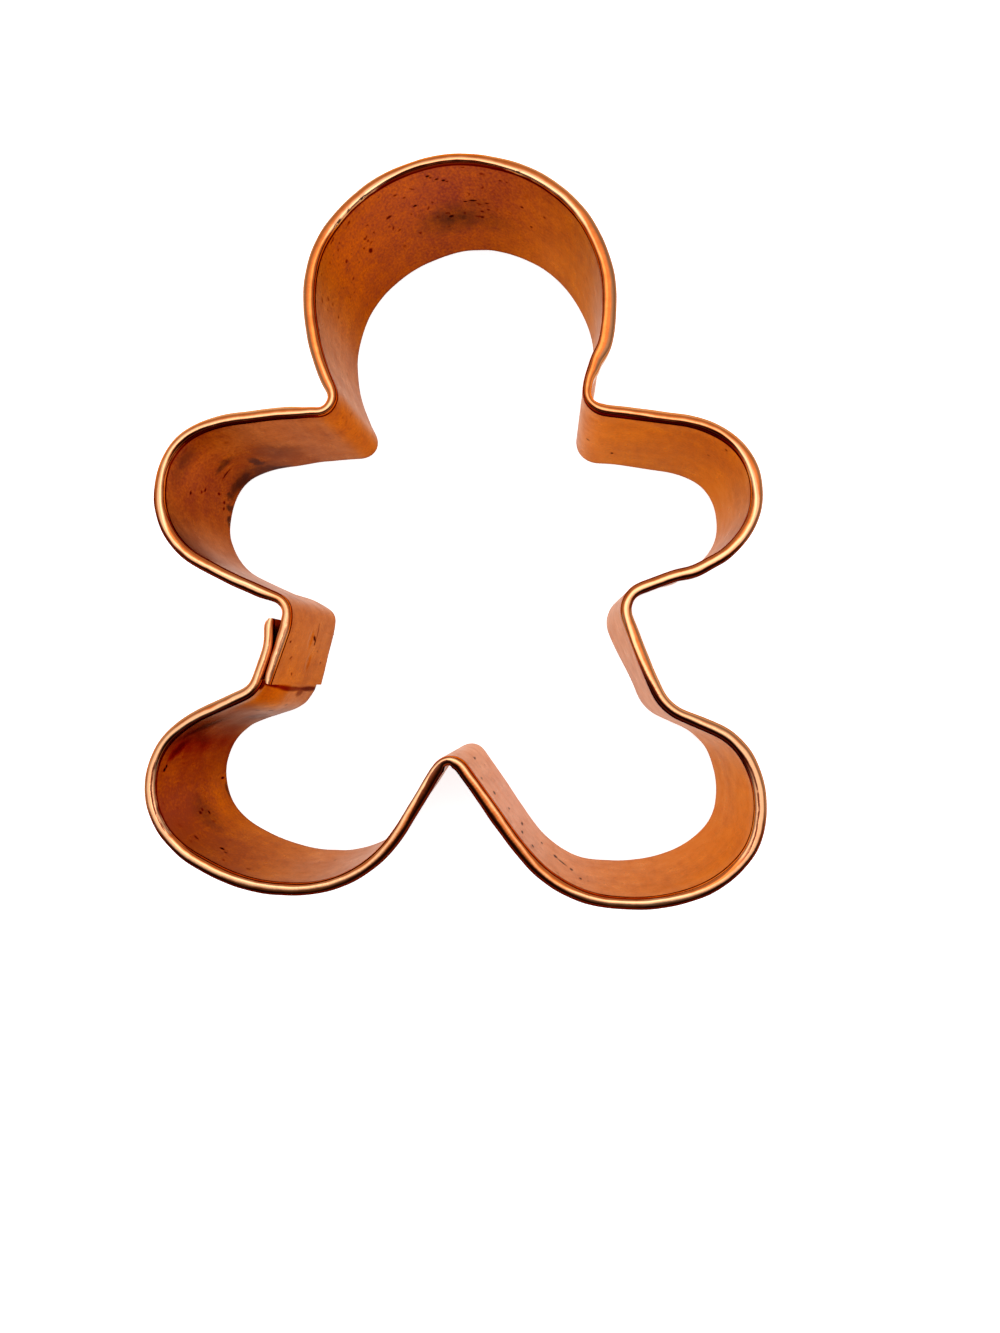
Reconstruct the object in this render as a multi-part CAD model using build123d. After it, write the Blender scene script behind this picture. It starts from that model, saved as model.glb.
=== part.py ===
from build123d import *
from build123d.topology import SkipClean
from math import radians, sqrt, tan
import os

os.makedirs("parts", exist_ok=True)

# Copper cookie cutter in the outline of a gingerbread figure. One strip stands on its cutting
# edge, is bent to the outline, and has its top edge folded outward into a rolled rim. Its two
# ends lap at the left waist, where two spot welds join them.
# Millimetres. X runs across the arms, Y from the feet to the head, Z up from the cutting edge.

# Overall sizes, over the rolled rim
figure_width = 73.6
figure_length = 89.6
cutter_height = 25.4

# The strip and its rolled rim
sheet = 0.4
rim_bore = 0.65             # clear width inside the open roll
rim_depth = 3.2             # crown of the rim to the edge of the folded flap
rim_width = rim_bore + 2 * sheet

# The lap at the left waist
lap_length = 7.7
pressed_bore = 0.15         # what is left of the roll where it is pressed flat
widening_length = 1.8       # over which the inner end's rim opens to the full roll
straight_run = 0.1          # straight left between a shaped end and the next bend
wall_gap = 0.05             # between the lapped walls
rim_gap = 0.15              # between the inner end's rim and the outer end's wall
closing_height = 14.0       # below it the outer end lies against the inner one
heel_lean = 1.1             # lean of the outer end's wall where the waist starts to bend
waist_radius = 3.9          # bend of the outer end into the lap
flare_length = 3.4          # last stretch of the outer end, which stands off
flare_angle = 20
flare_radius = 8.0
steps_per_bend = 5          # flats that make up each bend of the outer end

# The spot welds
weld_diameter = 1.6
weld_bite = 0.12            # how deep a weld reaches into each wall
weld_height = 12.2
dimple_diameter = 1.8       # mark of the electrode on the inside
dimple_depth = 0.06
weld_shares = [0.45, 0.90]  # places along the lap's straight contact, from the inner end

# Sizes that follow
pressed_width = pressed_bore + 2 * sheet
half_across = figure_width / 2 - rim_width + sheet / 2
half_along = figure_length / 2 - rim_width + sheet / 2

# Bends of the strip's middle line, clockwise from the inner end: place across and along, and the
# bend's radius, as shares of half_across, half_along and half_across
inner_end_share = (-0.610, -0.425)
bend_shares = [
    (-0.540, -0.263, 0.170),  # up the left waist
    (-0.539, -0.194, 0.065),
    (-0.745, -0.120, 1.100),  # left arm, from below
    (-0.977, -0.018, 0.245),
    (-0.975, 0.228, 0.206),
    (-0.790, 0.289, 0.400),
    (-0.570, 0.309, 1.000),
    (-0.353, 0.308, 0.069),  # left side of the neck
    (-0.443, 0.485, 0.690),
    (-0.471, 0.635, 0.540),  # round the head
    (-0.445, 0.768, 0.306),
    (-0.277, 0.955, 0.536),
    (0.022, 1.008, 0.430),
    (0.257, 0.965, 0.486),
    (0.516, 0.797, 0.434),
    (0.514, 0.560, 0.400),
    (0.500, 0.492, 0.110),
    (0.453, 0.432, 0.200),  # right side of the neck
    (0.434, 0.311, 0.080),
    (0.820, 0.267, 0.345),  # right arm, from above
    (1.060, 0.164, 0.206),
    (0.935, -0.050, 0.280),
    (0.810, -0.111, 0.188),
    (0.743, -0.120, 0.260),
    (0.540, -0.181, 0.093),  # right waist
    (0.617, -0.355, 2.800),
    (0.693, -0.499, 0.172),
    (0.932, -0.583, 0.196),  # right foot
    (1.012, -0.709, 0.299),
    (0.986, -0.855, 0.223),
    (0.871, -0.952, 0.354),
    (0.675, -1.006, 0.568),
    (0.385, -0.991, 0.391),
    (0.233, -0.857, 0.950),
    (-0.002, -0.589, 0.063),  # between the legs
    (-0.147, -0.777, 2.300),
    (-0.300, -0.948, 0.393),  # left foot
    (-0.649, -0.989, 0.543),
    (-0.886, -0.884, 0.388),
    (-1.000, -0.788, 0.239),
    (-0.999, -0.619, 0.213),
    (-0.876, -0.532, 0.390),
]
leg_turn_share = (-0.651, -0.451)  # where the leg's line would meet the lap
bent_share = 0.98  # most of a side that its two bends may take


def middle_point(across, along):
    return Vector(across * half_across, along * half_along)


# Left of the direction of travel, which is outside the figure
def outward(direction):
    return Vector(-direction.Y, direction.X)


# Where two lines in plan cross
def meet(first, first_direction, second, second_direction):
    across = first_direction.cross(second_direction).Z
    return first + first_direction * ((second - first).cross(second_direction).Z / across)


# The strip's section: wall, roll and flap. The wall's foot leans inward by lean.
def strip_section(place, travel, width=rim_width, lean=0):
    face = sheet / 2
    roll = cutter_height - width / 2
    flap_edge = cutter_height - rim_depth
    flap = width - face
    wall = Polyline(
        (-face, roll), (-face, flap_edge), (-face - lean, closing_height), (-face - lean, 0),
        (face - lean, 0), (face - lean, closing_height), (face, flap_edge), (face, roll),
    )
    bore = ThreePointArc((face, roll), (flap / 2, cutter_height - sheet), (flap - sheet, roll))
    folded = Polyline((flap - sheet, roll), (flap - sheet, flap_edge), (flap, flap_edge), (flap, roll))
    crown = ThreePointArc((flap, roll), ((flap - face) / 2, cutter_height), (-face, roll))
    outline = Wire([*wall.edges(), *bore.edges(), *folded.edges(), *crown.edges()])
    return Plane(place, x_dir=outward(travel), z_dir=travel) * Face(outline)


# The lap's line, from the inner end up the waist, and the two lines that the outer end follows
bends = [middle_point(across, along) for across, along, radius in bend_shares]
inner_end = middle_point(*inner_end_share)
up = (bends[0] - inner_end).normalized()
out = outward(up)
rim_line = inner_end + out * (pressed_width + rim_gap)
wall_line = inner_end + out * (sheet + wall_gap)
leg_way = (middle_point(*leg_turn_share) - bends[-1]).normalized()
waist_turn = meet(bends[-1], leg_way, rim_line, up)

# Each bend is as round as its share says, unless its straight sides are too short for that
corners = [inner_end, *bends, waist_turn]
sides = [after - before for before, after in zip(corners, corners[1:])]
half_turns = [tan(radians(before.get_angle(after)) / 2) for before, after in zip(sides, sides[1:])]
wanted = [radius * half_across for across, along, radius in bend_shares]
waist_leg = waist_radius * tan(radians(leg_way.get_angle(up)) / 2)
taken = [widening_length, *[radius * half for radius, half in zip(wanted, half_turns)], waist_leg]
fits = [bent_share * side.length / (taken[i] + taken[i + 1]) for i, side in enumerate(sides)]
radii = [radius * min(1, fits[i], fits[i + 1]) for i, radius in enumerate(wanted)]

# Where the shaped ends begin, and the outer end's middle line at the rim
bend_start = bends[0] - up * (radii[0] * half_turns[0])
inner_start = bend_start - up * straight_run
outer_start = bends[-1] + leg_way * (radii[-1] * half_turns[-1] + straight_run)
flare_turn = rim_line + up * (lap_length - flare_length)
outer_tip = flare_turn + up.rotate(Axis.Z, flare_angle) * flare_length
outer_line = FilletPolyline(outer_start, waist_turn, flare_turn, outer_tip, radius=[waist_radius, flare_radius])
leaning_run = outer_line.edges()[0].length

# The strip between its two shaped ends
main_line = FilletPolyline(inner_start, *bends, outer_start, radius=radii)
main_strip = sweep(strip_section(inner_start, up), path=main_line.wire())

# The inner end, with its rim pressed for the lap
inner_strip = loft([
    strip_section(inner_start, up),
    strip_section(inner_start - up * widening_length, up, pressed_width),
    strip_section(inner_end, up, pressed_width),
], ruled=True)

# The outer end: its rim is squeezed and its wall leans along the leg, closes on the inner end
# through the lap, and flares off at the tip
outer_sections = [strip_section(outer_start, leg_way)]
travelled = 0
for edge in outer_line.edges():
    flats = steps_per_bend if edge.geom_type == GeomType.CIRCLE else 1
    for step in range(1, flats + 1):
        place = edge.position_at(step / flats)
        travel = edge.tangent_at(step / flats)
        gone = travelled + edge.length * step / flats
        in_lap = (place - wall_line).dot(out) / outward(travel).dot(out)
        past_bend = max((place - outward(travel) * in_lap - bend_start).dot(up), 0)
        in_lap -= radii[0] - sqrt(radii[0] ** 2 - past_bend ** 2)
        bend_share = (gone - leaning_run) / (waist_radius * radians(leg_way.get_angle(up)))
        lean = heel_lean + (in_lap - heel_lean) * min(max(bend_share, 0), 1)
        outer_sections.append(strip_section(place, travel, pressed_width, lean))
    travelled += edge.length
outer_strip = loft(outer_sections, ruled=True)

# Spot welds between the lapped walls, and the electrode's marks on the inside
welds = []
marks = []
for share in weld_shares:
    foot = inner_end + (bend_start - inner_end) * share + Vector(0, 0, weld_height)
    seat = Plane(foot + out * (sheet / 2 - weld_bite), z_dir=out)
    face = Plane(foot - out * (sheet / 2), z_dir=out)
    welds.append(extrude(seat * Circle(weld_diameter / 2), wall_gap + 2 * weld_bite))
    marks.append(extrude(face * Circle(dimple_diameter / 2), dimple_depth))

# The faces of the three stretches meet edge to edge, so none is merged with its neighbour
with SkipClean():
    copper_strip = main_strip + inner_strip + outer_strip
    for taken in welds + marks:
        copper_strip -= taken

export_step(copper_strip, "parts/copper_strip.step")
export_step(Compound(welds), "parts/seam_spot_welds.step")
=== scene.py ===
from math import atan2, cos, exp, hypot, pi, radians, sin, tan

import bmesh
import bpy
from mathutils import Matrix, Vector


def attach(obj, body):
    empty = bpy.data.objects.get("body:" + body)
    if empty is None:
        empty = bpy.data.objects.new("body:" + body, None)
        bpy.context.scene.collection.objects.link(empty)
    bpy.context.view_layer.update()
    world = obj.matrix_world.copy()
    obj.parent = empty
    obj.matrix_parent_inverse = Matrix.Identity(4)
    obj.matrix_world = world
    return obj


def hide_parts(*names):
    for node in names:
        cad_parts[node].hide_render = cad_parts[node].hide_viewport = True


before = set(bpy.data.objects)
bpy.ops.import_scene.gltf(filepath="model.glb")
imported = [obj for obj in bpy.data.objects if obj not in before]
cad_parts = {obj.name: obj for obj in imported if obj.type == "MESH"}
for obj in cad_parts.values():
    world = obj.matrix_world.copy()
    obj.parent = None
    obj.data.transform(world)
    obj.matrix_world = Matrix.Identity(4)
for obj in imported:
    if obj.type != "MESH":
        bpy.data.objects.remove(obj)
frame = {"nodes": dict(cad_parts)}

scene = bpy.context.scene
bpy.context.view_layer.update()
mm = 0.001
print("cutter loaded:", ", ".join(frame["nodes"]))


# Camera: a phone held flat above the cutter
camera = {
    "place": (12.95, -18.73, 149.7),  # mm
    "tilt": (1.041, 3.240, 0),        # degrees
    "lens": 28.70,                    # mm
    "sensor": 36,                     # mm, along the picture's height
    "shown": (0.005, 20),             # m, nearest and farthest
}


def makeCamera(spec):
    data = bpy.data.cameras.new("overheadCamera")
    data.sensor_width = spec["sensor"]
    data.lens = spec["lens"]
    data.clip_start, data.clip_end = spec["shown"]
    cameraObject = bpy.data.objects.new("overheadCamera", data)
    cameraObject.location = Vector(spec["place"]) * mm
    cameraObject.rotation_euler = [radians(angle) for angle in spec["tilt"]]
    scene.collection.objects.link(cameraObject)
    scene.camera = cameraObject


makeCamera(camera)
print("camera placed")


# Node helpers
def addNode(tree, kind, at=(0, 0), **settings):
    node = tree.nodes.new(kind)
    node.location = at
    for name, value in settings.items():
        setattr(node, name, value)
    return node


def plug(tree, source, target):
    tree.links.new(source, target)


def mathNode(tree, operation, first, second=None, third=None, clamp=False):
    node = addNode(tree, "ShaderNodeMath", operation=operation, use_clamp=clamp)
    for socket, value in zip(node.inputs, (first, second, third)):
        if value is None:
            continue
        if isinstance(value, (int, float)):
            socket.default_value = value
        else:
            plug(tree, value, socket)
    return node.outputs[0]


def rangeNode(tree, value, low, high, toLow=0.0, toHigh=1.0):
    node = addNode(tree, "ShaderNodeMapRange", interpolation_type="SMOOTHSTEP")
    plug(tree, value, node.inputs["Value"])
    for name, number in (("From Min", low), ("From Max", high), ("To Min", toLow), ("To Max", toHigh)):
        node.inputs[name].default_value = number
    return node.outputs["Result"]


def mixColour(tree, factor, first, second, blend="MIX"):
    node = addNode(tree, "ShaderNodeMix", data_type="RGBA", blend_type=blend)
    for socket, value in ((node.inputs[0], factor), (node.inputs[6], first), (node.inputs[7], second)):
        if isinstance(value, (int, float)):
            socket.default_value = value
        elif isinstance(value, tuple):
            socket.default_value = (*value, 1)
        else:
            plug(tree, value, socket)
    return node.outputs[2]


# Room: a pale studio, brightest overhead and dim on the side where the photographer stands
room = {
    "horizon": 0.55,        # light from the walls, low down
    "upper": 0.85,          # and from half way up
    "overhead": 1.7,
    "behindCamera": 0.10,   # towards the photographer
    "lampSize": 0.34,       # m
    "lampPlace": (-0.03, 0.10, 0.55),
    "lampPower": 0.5,       # W
    # Where the light changes, as parts of the way up or along
    "wallRise": (0.05, 0.65),
    "overheadRise": (0.58, 0.88),
    "dimBand": (-0.50, -0.15),
    "backdropTop": (0.22, 0.30),
}


# Whether the camera looks straight at a thing, and whether it sees it in metal
def seenDirectly(tree):
    path = addNode(tree, "ShaderNodeLightPath")
    reflected = mathNode(tree, "MAXIMUM", path.outputs["Is Glossy Ray"], path.outputs["Is Transmission Ray"])
    return path.outputs["Is Camera Ray"], reflected


def makeRoom(spec):
    world = bpy.data.worlds.new("paleStudio")
    world.use_nodes = True
    scene.world = world
    tree = world.node_tree
    tree.nodes.clear()
    direction = addNode(tree, "ShaderNodeTexCoord").outputs["Generated"]
    split = addNode(tree, "ShaderNodeSeparateXYZ")
    plug(tree, direction, split.inputs[0])
    along, height = split.outputs[1:]
    rising = rangeNode(tree, height, *spec["wallRise"], spec["horizon"], spec["upper"])
    top = rangeNode(tree, height, *spec["overheadRise"], 0, spec["overhead"] - spec["upper"])
    level = mathNode(tree, "ADD", rising, top)
    dim = rangeNode(tree, along, *spec["dimBand"], spec["behindCamera"], 1)
    level = mathNode(tree, "MULTIPLY", level, dim)
    # The white backdrop, which metal shows too as far up as it goes
    seen, reflected = seenDirectly(tree)
    backdrop = rangeNode(tree, height, *spec["backdropTop"], 1, 0)
    white = mathNode(tree, "MAXIMUM", seen, mathNode(tree, "MULTIPLY", reflected, backdrop))
    level = mathNode(tree, "MAXIMUM", level, white)
    background = addNode(tree, "ShaderNodeBackground")
    background.inputs["Color"].default_value = (1, 1, 1, 1)
    plug(tree, level, background.inputs["Strength"])
    output = addNode(tree, "ShaderNodeOutputWorld")
    plug(tree, background.outputs[0], output.inputs[0])

    light = bpy.data.lights.new("softLamp", "AREA")
    light.shape = "SQUARE"
    light.size = spec["lampSize"]
    light.energy = spec["lampPower"]
    lamp = bpy.data.objects.new("softLamp", light)
    lamp.location = spec["lampPlace"]
    lamp.rotation_euler = (-lamp.location).to_track_quat("-Z", "Y").to_euler()
    scene.collection.objects.link(lamp)


makeRoom(room)
print("room lit")


# Floor: white paper that glows a little, so it stays white round the shadow
floor = {
    "half": 1.5,            # m
    "colour": (0.86, 0.86, 0.86),
    "roughness": 0.9,
    "specular": 0.1,
    "glow": 0.8,
}


def makeFloor(spec):
    half = spec["half"]
    mesh = bpy.data.meshes.new("paleFloor")
    corners = [(-half, -half, 0), (half, -half, 0), (half, half, 0), (-half, half, 0)]
    mesh.from_pydata(corners, [], [(0, 1, 2, 3)])
    plane = bpy.data.objects.new("paleFloor", mesh)
    scene.collection.objects.link(plane)
    material = bpy.data.materials.new("palePaper")
    material.use_nodes = True
    tree = material.node_tree
    shader = tree.nodes["Principled BSDF"]
    shader.inputs["Base Color"].default_value = (*spec["colour"], 1)
    shader.inputs["Roughness"].default_value = spec["roughness"]
    shader.inputs["Specular IOR Level"].default_value = spec["specular"]
    shader.inputs["Emission Color"].default_value = (1, 1, 1, 1)
    seen, reflected = seenDirectly(tree)
    glow = mathNode(tree, "MULTIPLY", mathNode(tree, "MAXIMUM", seen, reflected), spec["glow"])
    plug(tree, glow, shader.inputs["Emission Strength"])
    mesh.materials.append(material)


makeFloor(floor)
print("floor laid")


# The strip: lengths in mm. A bend is its place across and along and its radius, as shares of
# halfAcross, halfAlong and halfAcross, clockwise from the inner end of the lap
strip = {
    "sheet": 0.4,
    "length": 335.7,
    "height": 25.4,
    "halfAcross": 35.55,
    "halfAlong": 43.55,
    "rimDepth": 3.2,
    "step": 0.4,             # from one ring of points to the next
    "fineStep": 0.1,         # between the points that the bends are first drawn with
    "softening": 0.4,        # how widely the bends are eased, one standard deviation
    "start": (-0.610, -0.425),
    "bends": [
        (-0.540, -0.263, 0.170), (-0.539, -0.194, 0.065),                             # left waist
        (-0.745, -0.120, 1.100), (-0.977, -0.018, 0.245), (-0.975, 0.228, 0.206),     # left arm
        (-0.790, 0.289, 0.400), (-0.570, 0.309, 1.000), (-0.353, 0.308, 0.069),
        (-0.443, 0.485, 0.690), (-0.471, 0.635, 0.540), (-0.445, 0.768, 0.306),       # head
        (-0.277, 0.955, 0.536), (0.022, 1.008, 0.430), (0.257, 0.965, 0.486),
        (0.516, 0.797, 0.434), (0.514, 0.560, 0.400), (0.500, 0.492, 0.110),
        (0.453, 0.432, 0.200), (0.434, 0.311, 0.080), (0.820, 0.267, 0.345),          # right arm
        (1.060, 0.164, 0.206), (0.935, -0.050, 0.280), (0.810, -0.111, 0.188),
        (0.743, -0.120, 0.260), (0.540, -0.181, 0.093), (0.617, -0.355, 2.800),       # right waist
        (0.693, -0.499, 0.172), (0.932, -0.583, 0.196), (1.012, -0.709, 0.299),       # right leg
        (0.986, -0.855, 0.223), (0.871, -0.952, 0.354), (0.675, -1.006, 0.568),
        (0.385, -0.991, 0.391), (0.233, -0.857, 0.950), (-0.002, -0.588, 0.055),
        (-0.147, -0.777, 2.300), (-0.300, -0.948, 0.393), (-0.649, -0.989, 0.543),    # left leg
        (-0.886, -0.884, 0.388), (-1.000, -0.788, 0.239), (-0.999, -0.619, 0.213),
        (-0.876, -0.532, 0.390),
        (-0.6546, -0.4523, 0.110), (-0.599, -0.3235, 0.225),                          # the outer end
    ],
    "finish": (-0.600, -0.2454),
    # Tables hold pairs of a distance along the strip and a value, joined by a smooth curve
    # How far the cutting edge stands inside the rim
    "lean": [
        (0, 0.1), (17, 0.06), (23, -0.15), (29, 0.08), (34, 0.46), (40, 0.14), (46, 0.1), (51, -0.1),
        (55, -0.32), (58.5, 0.7), (61, 0.48), (66, 0.33), (70, 0.44), (76, 0.82), (83, 0.6), (90, 0.47),
        (97, 0.15), (100, -0.02), (106, 0.14), (116, 0.51), (122, 0.38), (134, 0.25), (137, 0.52), (142, 0.23),
        (148, 0.36), (154, 0.21), (160, 0.4), (164, 0.2), (169, 0.45), (176, 0.34), (184, 0.5), (192, -0.08),
        (197, 0.15), (201, 0.2), (205, 0.6), (210, 0.86), (221, 0.55), (230, 0.39), (234, 0.28), (239, -0.04),
        (244, 0.05), (250, 0.33), (254, 0.46), (259, 0.49), (262, -0.02), (266, 0.12), (272, 0.2), (278, -0.14),
        (284, 0), (287, 0.2), (293, 0.4), (301, 0.27), (308, 0.67), (312, 0.83), (316, 0.7),
    ],
    # Width of the rim
    "rim": [
        (0, 0.55), (0.4, 0.85), (1.2, 1.0), (4, 1.1), (6, 1.25), (7.5, 1.25), (9, 1.1), (11, 1.25), (14, 1.5),
        (26, 1.5), (30, 1.38), (35, 1.27), (40, 1.35), (46, 1.44), (52, 1.42), (54, 1.22), (56, 1.12),
        (58, 1.1), (61, 1.5), (66, 1.48), (71, 1.4), (76, 1.34), (84, 1.32), (90, 1.32), (96, 1.38),
        (108, 1.41), (116, 1.48), (124, 1.66), (129, 1.72), (131.5, 1.48), (134, 1.15), (136.5, 1.0),
        (139, 1.35), (142, 1.4), (152, 1.43), (158, 1.34), (165, 1.45), (171, 1.5), (175, 1.42), (178, 1.42),
        (181, 1.33), (186, 1.4), (196, 1.43), (202, 1.55), (206, 1.54), (210, 1.45), (222, 1.48), (236, 1.46),
        (242, 1.58), (252, 1.66), (256, 1.55), (260.2, 1.5), (261.2, 1.12), (262, 1.12), (263, 1.5),
        (285, 1.48), (290, 1.5), (294, 1.47), (298, 1.52), (303, 1.38), (308, 1.38), (311, 1.28), (316, 1.38),
        (320, 1.42), (325, 1.4), (327.5, 1.25), (334.7, 1.2), (335.3, 1.0), (335.7, 0.6),
    ],
    # How far the rim stands outside the plain outline
    "sway": [
        (0, 0), (30, 0), (34, -0.06), (40, 0), (52, 0), (54.5, 0.15), (57, 0), (60, -0.08), (66, -0.06),
        (72, 0), (112, 0), (117, -0.1), (124, -0.14), (130, -0.15), (132.5, 0.1), (135, 0), (138, 0.1),
        (147, 0.08), (156, 0), (160, 0), (164, 0.12), (168.5, 0.06), (171, -0.08), (174, 0.04), (190, 0.05),
        (196, 0.07), (200, 0.06), (206, 0.02), (219, 0.02), (226, 0.02), (236, -0.02), (242, -0.12),
        (252, -0.16), (258, -0.12), (261, -0.05), (264, -0.2), (268, -0.1), (272, 0.06), (284, 0.08),
        (288, -0.06), (296, -0.1), (301, 0),
    ],
    # Where the crown of the rim is highest, as a share of its width from the inside
    "crownShare": [
        (0, 0.36), (7, 0.4), (10, 0.4), (14, 0.4), (20, 0.54), (26, 0.62), (32, 0.22), (38, 0.46), (44, 0.24),
        (50, 0.28), (56, 0.32), (62, 0.42), (68, 0.32), (74, 0.26), (80, 0.02), (86, 0.04), (92, 0.28),
        (98, 0.23), (104, 0.05), (110, 0.09), (116, 0.07), (122, 0.2), (128, 0.15), (134, 0.45), (140, 0.36),
        (146, 0.24), (152, 0.36), (158, 0.06), (164, 0.58), (170, 0.48), (182, 0.53), (188, 0.2), (194, 0.55),
        (206, 0.46), (212, 0.5), (218, 0.55), (224, 0.46), (230, 0.27), (236, 0.36), (242, 0.42), (248, 0.24),
        (254, 0.12), (258, 0.25), (262, 0.25), (263.5, 0.1), (267, 0.08), (272, 0.25), (278, 0.38), (284, 0.28),
        (290, 0.25), (296, 0.35), (302, 0.42), (308, 0.5), (314, 0.51), (320, 0.25), (326, 0.46), (332, 0.48),
    ],
    # How high the crown stands over the straight part: low where the rim is flattened
    "crownHeight": [
        (0, 0.22), (8, 0.26), (12, 0.42), (24, 0.42), (30, 0.32), (36, 0.58), (52, 0.56), (58, 0.4), (66, 0.36),
        (76, 0.34), (80, 0.28), (87, 0.34), (92, 0.6), (101, 0.6), (106, 0.42), (116, 0.38), (128, 0.38),
        (134, 0.45), (139, 0.74), (154, 0.72), (158, 0.3), (165, 0.32), (172, 0.38), (182, 0.34), (188, 0.38),
        (193, 0.55), (206, 0.52), (211, 0.38), (220, 0.4), (228, 0.42), (236, 0.54), (258, 0.54), (278, 0.5),
        (284, 0.42), (292, 0.34), (303, 0.32), (310, 0.38), (314, 0.55), (322, 0.5), (328, 0.36), (336, 0.3),
    ],
    # Crease along the crown, left from folding: depth
    "crease": [
        (0, 0.02), (9, 0.02), (11, 0), (182, 0), (184, 0.04), (192, 0.04), (196, 0), (205, 0), (207, 0.075),
        (217, 0.075), (222, 0), (301, 0), (304, 0.08), (311, 0.08), (314, 0), (325, 0), (328, 0.07),
        (336, 0.07),
    ],
    # and how far in from the crest it lies
    "creaseReach": [
        (0, 0.13), (9, 0.13), (20, 0.3), (312, 0.3), (326, 0.2), (336, 0.2),
    ],
    # How far the flap's edge stands off
    "spread": [
        (0, 0), (166, 0), (171, 0.06), (176, 0), (185, 0),
    ],
    "spreadWidth": 1.05,     # width of the middle line at which spread is as given
    "waver": 0.05,           # unevenness of the hand-bent rim
    "widthWaver": 0.6,       # how much of it the width takes
    "flapWaver": 0.12,       # mm, at the flap's edge
    # Waves of that unevenness: length along the strip, start
    "widthWave": (17, 0.4),
    "crownWave": (11, 1.3),
    "spreadWave": (23, 2.0),
    "flapWave": (29, 0.9),
    # The crease: how much it squares the crown, its distance past creaseReach, its width as a share
    "creaseSquareness": 50,
    "creaseShift": 0.08,
    "creaseWidth": 0.15,
    # Heights of the points up the wall, close together where the dimples are
    "footHeights": [0, 0.12, 0.4, 0.9, 1.8, 2.8, 3.8, 4.8, 5.8, 6.8, 7.8, 8.8],
    "dimpleHeights": [9.4 + 0.25 * i for i in range(21)],
    "upperHeights": [15.2, 16.2, 17.2, 18.2, 19.2, 20.2, 21.2],
    "flapHeights": [22.7, 23.2, 23.7, 24.1, 24.4],
    "straightTop": 24,       # from here up the heights are spread to meet the crown
    "straightRest": 0.6,
    "crownSteps": 20,
    "flapSteps": 6,
    # Places of the inner end's foot and of the outer end's foot
    "innerFoot": [
        (-21.18, -18.5), (-20.66, -16.44), (-20.16, -14.24), (-19.61, -12.14), (-19.24, -10.4), (-19.16, -9.2),
        (-19.52, -8.36), (-20.38, -7.7), (-21.74, -6.93), (-23.67, -5.98), (-25.4, -5.56),
    ],
    "innerFootRun": 16.8,
    "outerFoot": [
        (-33.16, -25.95), (-31.36, -24.29), (-29.08, -23.25), (-26.82, -22.5), (-24.82, -21.83), (-23.4, -21.0),
        (-22.6, -20.0), (-22.08, -19.15), (-21.8, -18.3), (-20.98, -15.98), (-20.16, -13.66), (-19.36, -11.3),
    ],
    "outerFootRun": 20.6,
    "footPoints": 400,
    "footBlend": 4.0,
    "closingHeight": 14.0,   # below it the outer end lies against the inner one
    "closingFade": (9.0, 16.2),  # distance from the outer tip over which that ends
    "footEasing": 22,
    # The welder's marks: distance along the strip, height
    "dimples": [(6.1, 13.0), (3.1, 10.8)],
    "dimpleRadius": 0.95,
    "dimpleDepth": 0.07,
    "dimpleEdge": (0.75, 1.1),   # shares of the radius
    "dimplesEnd": 9,
    "cutRounding": 0.55,     # how thick the very edge of the sheet is left
    "sharpAngle": 40,        # degrees
}


# Points at an even step along straight runs joined by arcs
def bentLine(spec):
    across, along = spec["halfAcross"], spec["halfAlong"]
    turns = [spec["start"], *spec["bends"], spec["finish"]]
    corners = [Vector((turn[0] * across, turn[1] * along)) for turn in turns]
    radii = [bend[2] * across for bend in spec["bends"]]
    points = []

    def addRun(start, end):
        count = max(1, round((end - start).length / spec["fineStep"]))
        points.extend(start.lerp(end, i / count) for i in range(count))

    here = corners[0]
    for before, corner, after, radius in zip(corners, corners[1:], corners[2:], radii):
        way = (corner - before).normalized()
        onward = (after - corner).normalized()
        turn = atan2(way.x * onward.y - way.y * onward.x, way.dot(onward))
        leg = radius * tan(abs(turn) / 2)
        arcStart = corner - way * leg
        addRun(here, arcStart)
        side = Vector((-way.y, way.x)) * (1 if turn > 0 else -1)
        centre = arcStart + side * radius
        arm = arcStart - centre
        count = max(2, round(abs(turn) * radius / spec["fineStep"]))
        for i in range(count):
            c, s = cos(turn * i / count), sin(turn * i / count)
            points.append(centre + Vector((arm.x * c - arm.y * s, arm.x * s + arm.y * c)))
        here = corner + onward * leg
    addRun(here, corners[-1])
    points.append(corners[-1])
    return points


# How far along a line of points each of them is
def distancesAlong(line):
    distances = [0.0]
    for before, after in zip(line, line[1:]):
        distances.append(distances[-1] + (after - before).length)
    return distances


# Places on a line of points, from its start to its end in count even steps
def evenPlaces(line, distances, count):
    places = []
    k = 0
    for i in range(count + 1):
        goal = distances[-1] * i / count
        while k < len(line) - 2 and distances[k + 1] < goal:
            k += 1
        share = (goal - distances[k]) / max(distances[k + 1] - distances[k], 1e-9)
        places.append(line[k].lerp(line[k + 1], share))
    return places


easingReach = 3  # standard deviations


# The bent line with its bends eased: distance along the strip and place, at an even step
def easedLine(spec):
    fine = bentLine(spec)
    reach = round(spec["softening"] * easingReach / spec["fineStep"])
    weights = [exp(-0.5 * (easingReach * k / reach) ** 2) for k in range(-reach, reach + 1)]
    eased = []
    for i in range(len(fine)):
        span = min(reach, i, len(fine) - 1 - i)
        chosen = weights[reach - span:reach + span + 1]
        total = sum(chosen)
        point = Vector((0, 0))
        for weight, near in zip(chosen, fine[i - span:i + span + 1]):
            point += near * (weight / total)
        eased.append(point)
    distances = distancesAlong(eased)
    count = round(distances[-1] / spec["step"])
    places = evenPlaces(eased, distances, count)
    return [(spec["length"] * i / count, place) for i, place in enumerate(places)]


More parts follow.
